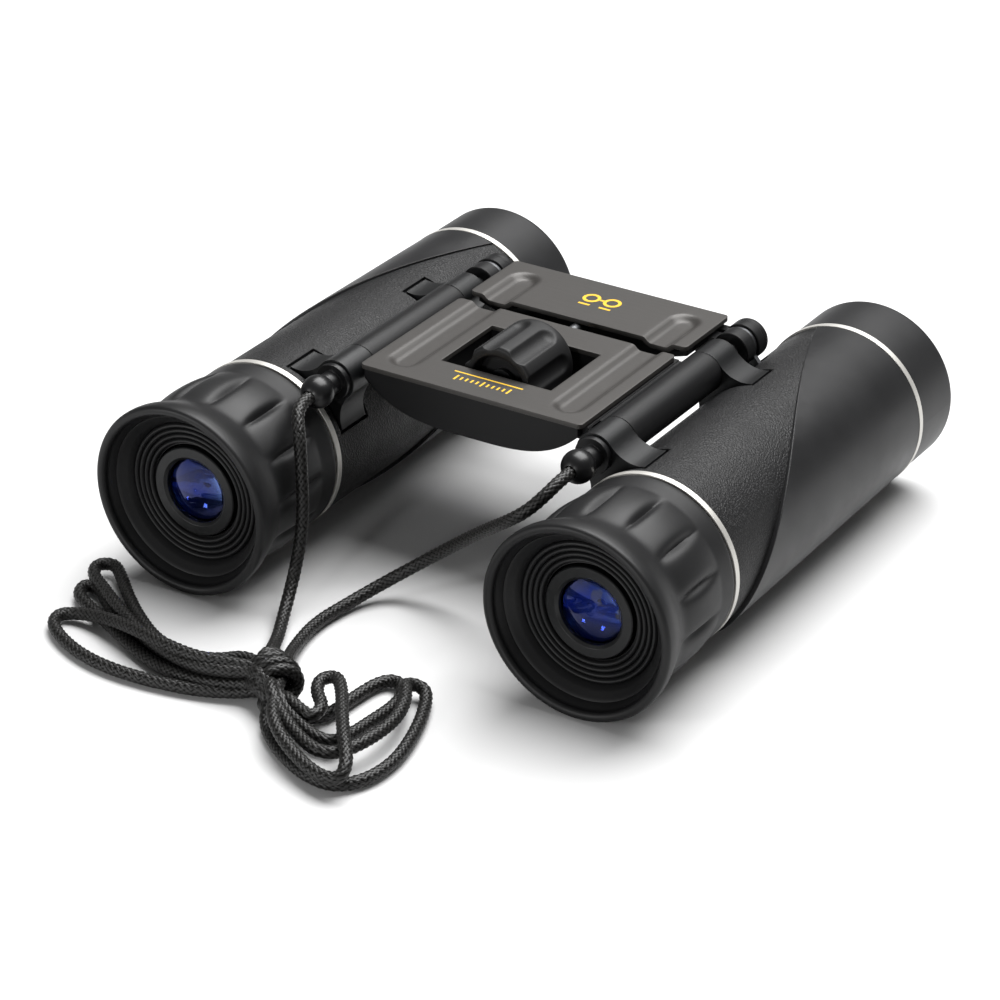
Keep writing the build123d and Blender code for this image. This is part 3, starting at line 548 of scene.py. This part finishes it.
# %% [markdown]
# The two cover plates are pressed from one sheet pattern: rounded outline, soft troughs that run on from
# one plate to the next, and an opening for the wheel in the rear one. Each is a fine grid that dips along
# the troughs, given its thickness and soft edges by modifiers.

# %% Pressed cover plates
PLATE_HALF, PLATE_TOP, PLATE_T, PLATE_CORNER = 21.0, 34.0, 0.8, 0.8
TROUGH_X, TROUGH_HALF, TROUGH_DEPTH = 15.7, 2.7, 0.92
TROUGH_ENDS = (31.8, 73.6)
WINDOW_HALF, WINDOW_ENDS = 10.5, (37.0, 52.6)
GRID_STEP = 0.4


def pressed_depth(x, station):
    """How far the sheet is pushed down at a place: the troughs, with a soft shoulder and a flat floor."""
    along = min(max(station, TROUGH_ENDS[0] + TROUGH_HALF), TROUGH_ENDS[1] - TROUGH_HALF)
    distance = math.hypot(abs(x) - TROUGH_X, station - along)
    t = min(max((TROUGH_HALF + 0.25 - distance) / 1.5, 0.0), 1.0)
    return TROUGH_DEPTH * t * t * (3 - 2 * t)


def grid_lines(low, high, marks, step):
    """Positions from low to high about a step apart, with a line exactly on each mark."""
    stops = [low, *marks, high]
    lines = []
    for a, b in zip(stops, stops[1:]):
        count = max(round((b - a) / step), 1)
        lines += [a + (b - a) * number / count for number in range(count)]
    return lines + [high]


def cover_plate(name, node, body, ends, has_window):
    """One pressed plate over its stations, with or without the wheel's opening."""
    marks = (-WINDOW_HALF, WINDOW_HALF) if has_window else ()
    columns = grid_lines(-PLATE_HALF, PLATE_HALF, marks, GRID_STEP)
    corner_rows = [ends[0] + PLATE_CORNER * (1 - math.cos(math.radians(a))) for a in (15, 30, 45, 60, 75)]
    far_corner_rows = [ends[0] + ends[1] - row for row in reversed(corner_rows)]
    window_marks = WINDOW_ENDS if has_window else ()
    middle_rows = grid_lines(ends[0] + PLATE_CORNER, ends[1] - PLATE_CORNER, window_marks, GRID_STEP)
    rows = [ends[0], *corner_rows, *middle_rows, *far_corner_rows, ends[1]]
    vertices, faces = [], []
    for station in rows:
        edge = min(station - ends[0], ends[1] - station, PLATE_CORNER)
        narrower = PLATE_CORNER - math.sqrt(PLATE_CORNER**2 - (PLATE_CORNER - edge) ** 2)
        for x in columns:
            pull = math.copysign(narrower * max(abs(x) - PLATE_HALF + 2, 0.0) / 2, x)
            height = PLATE_TOP - pressed_depth(x, station)
            vertices.append(((x - pull) * MM, REAR + station * MM, height * MM))
    for row in range(len(rows) - 1):
        in_window = has_window and WINDOW_ENDS[0] - 0.01 <= rows[row] < WINDOW_ENDS[1] - 0.01
        for column in range(len(columns) - 1):
            if in_window and -WINDOW_HALF - 0.01 <= columns[column] < WINDOW_HALF - 0.01:
                continue
            first = row * len(columns) + column
            faces.append((first, first + 1, first + len(columns) + 1, first + len(columns)))
    mesh = bpy.data.meshes.new(name)
    mesh.from_pydata(vertices, [], faces)
    work = bmesh.new()
    work.from_mesh(mesh)
    bmesh.ops.delete(work, geom=[v for v in work.verts if not v.link_faces], context="VERTS")
    work.to_mesh(mesh)
    work.free()
    mesh.shade_smooth()
    piece = bpy.data.objects.new(name, mesh)
    bpy.context.collection.objects.link(piece)
    sheet = piece.modifiers.new("sheet", "SOLIDIFY")
    sheet.thickness = PLATE_T * MM
    sheet.offset = -1
    edges = piece.modifiers.new("edges", "BEVEL")
    edges.width = 0.22 * MM
    edges.segments = 3
    edges.angle_limit = math.radians(60)
    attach(piece, body)
    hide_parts(node)
    return piece


rear_plate = cover_plate("pressed_rear_plate", "rear_cover_plate", "bridge", (28.9, 59.0), True)
front_plate = cover_plate("pressed_front_plate", "front_cover_plate", "focus_carriage", (62.3, 76.9),
                          False)
print("plate faces", len(rear_plate.data.polygons), len(front_plate.data.polygons))

# %% [markdown]
# The makers of such instruments print their marks in gold on the cover plates. Here a small generic
# pictogram of two joined lenses stands on the front plate, and a graduated row of ticks over a rule on
# the rear one.

# %% Gold print
PRINT_T = 0.03


def flat_print(name, body, outlines, height_mm):
    """Thin raised print of closed (x, station) outlines in mm, each lying on a plate's top."""
    work = bmesh.new()
    for outline in outlines:
        low = [work.verts.new((x * MM, REAR + s * MM, height_mm * MM)) for x, s in outline]
        high = [work.verts.new(v.co + Vector((0, 0, PRINT_T * MM))) for v in low]
        work.faces.new(high)
        work.faces.new(list(reversed(low)))
        for number in range(len(low)):
            after = (number + 1) % len(low)
            work.faces.new((low[number], low[after], high[after], high[number]))
    mesh = bpy.data.meshes.new(name)
    work.to_mesh(mesh)
    work.free()
    piece = bpy.data.objects.new(name, mesh)
    bpy.context.collection.objects.link(piece)
    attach(piece, body)
    return piece


def bar(x, station, width, length):
    """Outline of a printed bar about its middle."""
    return [(x - width / 2, station - length / 2), (x + width / 2, station - length / 2),
            (x + width / 2, station + length / 2), (x - width / 2, station + length / 2)]


def circle_band(x, station, outer, inner, pieces=36):
    """A ring as a row of small quadrilaterals."""
    quads = []
    for number in range(pieces):
        a, b = (2 * math.pi * (number + end) / pieces for end in (0, 1))
        quads.append([(x + r * math.cos(t), station + r * math.sin(t))
                      for r, t in ((inner, a), (outer, a), (outer, b), (inner, b))])
    return quads


pictogram = [*circle_band(-2.0, 70.6, 1.6, 1.0), *circle_band(2.0, 70.6, 1.6, 1.0),
             bar(0, 70.6, 0.9, 0.5), bar(-2.0, 68.0, 2.2, 0.5), bar(2.0, 68.0, 2.2, 0.5)]
ticks = [bar(-5.0 + step, 33.0, 0.34, 1.7 if step % 5 == 0 else 1.0) for step in range(11)]
front_print = flat_print("front_plate_pictogram", "focus_carriage", pictogram, PLATE_TOP)
rear_print = flat_print("rear_plate_scale", "bridge", [*ticks, bar(0, 34.9, 13.0, 0.34)], PLATE_TOP)
print("print faces", len(front_print.data.polygons), len(rear_print.data.polygons))

# %% [markdown]
# Every material starts from object space, so a pattern's size is a real size. Small building blocks do
# what several materials share: a slow change of tone, a roughness that varies, and fine lines left by a
# tool.

# %% Building blocks of the materials
def noise(tree, vector, detail=2.0):
    """Noise with one cell of the given coordinates as its grain."""
    return add(tree, "TexNoise", Vector=vector, Scale=1.0, Detail=detail, Roughness=0.55), "Fac"


def between(tree, factor, low, high):
    """A value from low to high as the factor goes over the middle of its range."""
    return add(tree, "MapRange", Value=factor, From_Min=0.3, From_Max=0.7, To_Min=low, To_Max=high), "Result"


def toned(tree, factor, dark, light):
    """A colour between two hex colours."""
    return add(tree, "MixRGB", Fac=factor, Color1=linear(dark), Color2=linear(light)), "Color"


def finish(tree, shader, **inputs):
    """Set or link inputs of the main shader."""
    for name, value in inputs.items():
        socket = shader.inputs[name.replace("_", " ")]
        if isinstance(value, tuple):
            tree.links.new(value[0].outputs[value[1]], socket)
        else:
            socket.default_value = value


# %% [markdown]
# The rubbers differ by their moulds. The front armour and the hoods are smooth and satin, the grip skin
# has a fine wrinkled leather grain about half a millimetre across, and the eyecups are softer and more
# matt.

# %% Rubbers
RUBBER_SHINE = 0.28


def moulded_rubber(name, dark, light, roughness, grain_mm, depth_mm, edge_mm=0.0):
    """Smooth rubber from a spark-textured mould: even tone, satin, with a barely visible grain."""
    material, tree, shader, place = surface(name)
    patches = noise(tree, scaled(tree, place, 9, 9, 9), 4.0)
    grain = noise(tree, scaled(tree, place, grain_mm, grain_mm, grain_mm), 3.0)
    finish(tree, shader, Base_Color=toned(tree, patches, dark, light),
           Roughness=between(tree, patches, roughness - 0.04, roughness + 0.05),
           Specular_IOR_Level=RUBBER_SHINE)
    relief(tree, shader, grain, depth_mm, edge_mm)
    return material


def leather_grain_rubber(name, dark, light, roughness, cell_mm, depth_mm):
    """Rubber skin moulded with a fine wrinkled grain: rounded cells between narrow creases, with painted
    shade darkening the creases.
    """
    material, tree, shader, place = surface(name)
    cells = scaled(tree, place, cell_mm, cell_mm, cell_mm)
    wander = add(tree, "TexNoise", Vector=cells, Scale=0.8, Detail=2.0)
    pushed = add(tree, "VectorMath", {"operation": "MULTIPLY_ADD"}, i0=(wander, "Color"),
                 i1=(0.9, 0.9, 0.9), i2=cells)
    creases = add(tree, "TexVoronoi", {"feature": "DISTANCE_TO_EDGE"}, Vector=(pushed, "Vector"), Scale=1.0)
    height = add(tree, "MapRange", {"interpolation_type": "SMOOTHSTEP"}, Value=(creases, "Distance"),
                 From_Min=0.0, From_Max=0.32, To_Min=0.0, To_Max=1.0)
    patches = noise(tree, scaled(tree, place, 6, 6, 6))
    # Painted shade: the colour follows the grain's height, darker down in the creases and lighter on the
    # cells.
    finish(tree, shader, Base_Color=toned(tree, (height, "Result"), dark, light),
           Roughness=between(tree, patches, roughness - 0.05, roughness + 0.05),
           Specular_IOR_Level=RUBBER_SHINE)
    relief(tree, shader, (height, "Result"), depth_mm, 0.25)
    return material


armour = moulded_rubber("satin_armour_rubber", "#121213", "#171718", 0.40, 0.16, 0.004, 0.3)
hood = moulded_rubber("firm_hood_rubber", "#141415", "#19191a", 0.42, 0.18, 0.005, 0.4)
cup_rubber = moulded_rubber("soft_eyecup_rubber", "#0a0a0b", "#0f0f10", 0.48, 0.20, 0.008)
wheel_rubber = moulded_rubber("satin_wheel_rubber", "#09090a", "#0d0d0e", 0.52, 0.18, 0.005)
grip = leather_grain_rubber("leather_grain_rubber", "#060607", "#111112", 0.50, 0.50, 0.05)

# %% [markdown]
# The plastics are moulded too: the bridge has a fine satin texture, and the parts inside are plainer and
# matt. The cord is nylon, with painted shade between its yarns and a slight sheen from the fibres.

# %% Plastics and cord
def moulded_plastic(name, dark, light, roughness, grain_mm, depth_mm, edge_mm):
    """Glass-filled plastic with a fine eroded texture."""
    material, tree, shader, place = surface(name)
    grain = noise(tree, scaled(tree, place, grain_mm, grain_mm, grain_mm), 3.0)
    finish(tree, shader, Base_Color=toned(tree, grain, dark, light),
           Roughness=between(tree, grain, roughness - 0.05, roughness + 0.05), Specular_IOR_Level=0.24)
    relief(tree, shader, grain, depth_mm, edge_mm)
    return material


def braided_nylon(name):
    """Black nylon yarn, with painted shade: black and without reflection in the gaps between yarns, lighter
    on the crowns of the braid.
    """
    material, tree, shader, place = surface(name)
    yarn = add(tree, "Attribute", {"attribute_name": "yarn"})
    fibres = noise(tree, scaled(tree, place, 0.12, 0.12, 0.12), 3.0)
    lit = add(tree, "Math", {"operation": "MULTIPLY"}, i0=(yarn, "Fac"), i1=between(tree, fibres, 0.55, 1.0))
    # Painted shade: the colour runs from black in the gaps between yarns to lighter on their crowns, and the
    # gaps lose their reflection.
    finish(tree, shader, Base_Color=toned(tree, (lit, "Value"), "#000000", "#131210"), Roughness=0.42,
           Sheen_Weight=0.04, Sheen_Roughness=0.4, Specular_IOR_Level=between(tree, (yarn, "Fac"), 0.0, 0.4))
    relief(tree, shader, fibres, 0.03)
    return material


frame_plastic = moulded_plastic("satin_frame_plastic", "#0a0a0b", "#0f0f10", 0.42, 0.22, 0.006, 0.3)
inner_plastic = moulded_plastic("matt_inner_plastic", "#060607", "#09090a", 0.62, 0.25, 0.008, 0.2)
nylon = braided_nylon("braided_black_nylon")

# %% [markdown]
# The metals keep the marks of how they were made: fine turning lines round the bright rings and the
# steel, brushing across the dark cover plates, and a smooth anodised skin on the black rings.

# %% Metals
def tooled_metal(name, colour, roughness, lines, depth_mm, metallic=1.0, edge_mm=0.12):
    """Metal with fine parallel tool lines. lines gives the line cell in mm along x, y and z."""
    material, tree, shader, place = surface(name)
    marks = noise(tree, scaled(tree, place, *lines), 3.0)
    finish(tree, shader, Base_Color=linear(colour), Metallic=metallic,
           Roughness=between(tree, marks, roughness - 0.05, roughness + 0.07))
    relief(tree, shader, marks, depth_mm, edge_mm)
    return material


def gloss_enamel(name, colour, roughness):
    """Thick glossy black enamel on metal, with a slight orange peel."""
    material, tree, shader, place = surface(name)
    peel = noise(tree, scaled(tree, place, 0.9, 0.9, 0.9))
    finish(tree, shader, Base_Color=linear(colour), Roughness=roughness, Coat_Weight=0.1,
           Coat_Roughness=0.2, Specular_IOR_Level=0.3)
    relief(tree, shader, peel, 0.01, 0.2)
    return material


def gold_foil(name):
    """Matt hot-stamped foil, slightly broken in its colour."""
    material, tree, shader, place = surface(name)
    flecks = noise(tree, scaled(tree, place, 0.25, 0.25, 0.25), 3.0)
    finish(tree, shader, Base_Color=toned(tree, flecks, "#c79a1e", "#e6bd3e"), Metallic=0.3, Roughness=0.42)
    relief(tree, shader, flecks, 0.004)
    return material


TURNED, BRUSHED = (12, 0.07, 12), (9, 0.07, 9)
trim = tooled_metal("turned_bright_aluminium", "#c8c6c1", 0.42, TURNED, 0.0015, metallic=0.75)
anodised = tooled_metal("black_anodised_aluminium", "#0e0f10", 0.36, (0.5, 0.07, 0.5), 0.003, metallic=0.4)
cover = tooled_metal("brushed_dark_cover", "#393735", 0.42, BRUSHED, 0.003, metallic=0.35, edge_mm=0.0)
steel = tooled_metal("turned_steel", "#6a6b6d", 0.38, TURNED, 0.003)
brass = tooled_metal("machined_brass", "#b08d52", 0.30, TURNED, 0.003)
enamel = gloss_enamel("gloss_black_enamel", "#0b0b0c", 0.34)
foil = gold_foil("gold_foil")

# %% [markdown]
# The outer lenses carry a coating that mirrors blue light, so against the black inside they look deep
# blue where the bright room falls on them. The inner glass is only clear.

# %% Glass
def coated_glass(name):
    """Polished glass under a strong blue coating, with a faint unevenness in the coating."""
    material, tree, shader, place = surface(name)
    drift = noise(tree, scaled(tree, place, 4, 4, 4))
    facing = add(tree, "LayerWeight", Blend=0.35)
    depth = add(tree, "MixRGB", Fac=(facing, "Facing"), Color1=linear("#8fb2ff"), Color2=linear("#1c2c80"))
    finish(tree, shader, Base_Color=(depth, "Color"), Roughness=between(tree, drift, 0.0, 0.02), IOR=1.65,
           Transmission_Weight=1.0, Coat_Weight=0.25, Coat_Roughness=0.01, Specular_Tint=linear("#2a58ff"),
           Specular_IOR_Level=0.8)
    return material


def clear_glass(name):
    """Polished clear glass."""
    material, tree, shader, place = surface(name)
    drift = noise(tree, scaled(tree, place, 4, 4, 4))
    finish(tree, shader, Base_Color=linear("#eef4f6"), Roughness=between(tree, drift, 0.01, 0.03), IOR=1.52,
           Transmission_Weight=1.0)
    return material


blue_lens = coated_glass("blue_coated_glass")
glass = clear_glass("clear_glass")

# %% [markdown]
# The record says which slot each CAD node belongs to. Each slot gets its material here, and the pieces
# made above get theirs one by one.

# %% Dressing the nodes
slot_material = {
    "armour_rubber": armour, "grip_rubber": grip, "eyecup_rubber": cup_rubber, "hood_rubber": hood,
    "barrel_aluminium": anodised, "trim_metal": trim, "black_anodised": anodised,
    "optical_plastic": inner_plastic, "coated_glass": blue_lens, "plain_glass": glass,
    "frame_plastic": frame_plastic, "cover_metal": cover,
    "wheel_rubber": wheel_rubber, "steel": steel, "brass": brass, "post_metal": enamel, "cord_nylon": nylon}
piece_material = {cord: nylon, wheel: wheel_rubber, rear_plate: cover, front_plate: cover, front_print: foil,
                  rear_print: foil, **{cup: cup_rubber for cup in cups.values()}}


def dress(piece, material):
    """Give a piece one material in place of what it had."""
    piece.data.materials.clear()
    piece.data.materials.append(material)


for part in frame["record"]["subparts"]:
    dress(bpy.data.objects[part["node"]], slot_material[part["material_slot"]])
for piece, material in piece_material.items():
    dress(piece, material)
dress(bpy.data.objects["wheel_cap_screw"], anodised)

# %% [markdown]
# The table is a plain pale sheet, and the light is a large soft box overhead with two smaller ones beside
# it, as on a product stand. They are what the glossy black parts and the lenses reflect. Blender's
# default view transform would lift the blacks and grey the table, so the plain Standard one is used.

# %% Table and lights
floor_mesh = bpy.data.meshes.new("table")
floor_mesh.from_pydata([(-4, -4, 0), (4, -4, 0), (4, 4, 0), (-4, 4, 0)], [], [(0, 1, 2, 3)])
floor = bpy.data.objects.new("table", floor_mesh)
floor.location.z = -0.0002
bpy.context.collection.objects.link(floor)
floor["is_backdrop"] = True

card, card_tree, card_shader, card_place = surface("matt_white_card")
finish(card_tree, card_shader, Base_Color=linear("#c4c4c4"), Roughness=0.9)
floor.data.materials.append(card)


def soft_box(name, place, size, watts):
    """Rectangular soft light that faces the object."""
    light = bpy.data.lights.new(name, "AREA")
    light.shape = "RECTANGLE"
    light.size, light.size_y = size
    light.energy = watts
    lamp = bpy.data.objects.new(name, light)
    lamp.location = place
    lamp.rotation_euler = (Vector(place) - AIM).to_track_quat("Z", "Y").to_euler()
    bpy.context.collection.objects.link(lamp)


soft_box("overhead", (0.05, 0.3, 0.85), (0.9, 0.8), 24)
soft_box("window_left", (-0.5, -0.85, 0.26), (0.11, 0.14), 3.0)
soft_box("window_right", (0.1, -1.0, 0.2), (0.10, 0.12), 2.4)
bpy.context.scene.view_settings.view_transform = "Standard"
world = bpy.data.worlds.new("studio")
bpy.context.scene.world = world
world.use_nodes = True
world.node_tree.nodes["Background"].inputs["Color"].default_value = linear("#ffffff")
world.node_tree.nodes["Background"].inputs["Strength"].default_value = 0.22
print("lights", len(bpy.data.lights))

# %% Sizes before and after
visual_box = [list(corner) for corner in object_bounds()]
for name, visual, cad in zip(("lowest", "highest"), visual_box, cad_box):
    print(name, "corner, visual minus CAD, mm", [round((v - c) / MM, 2) for v, c in zip(visual, cad)])
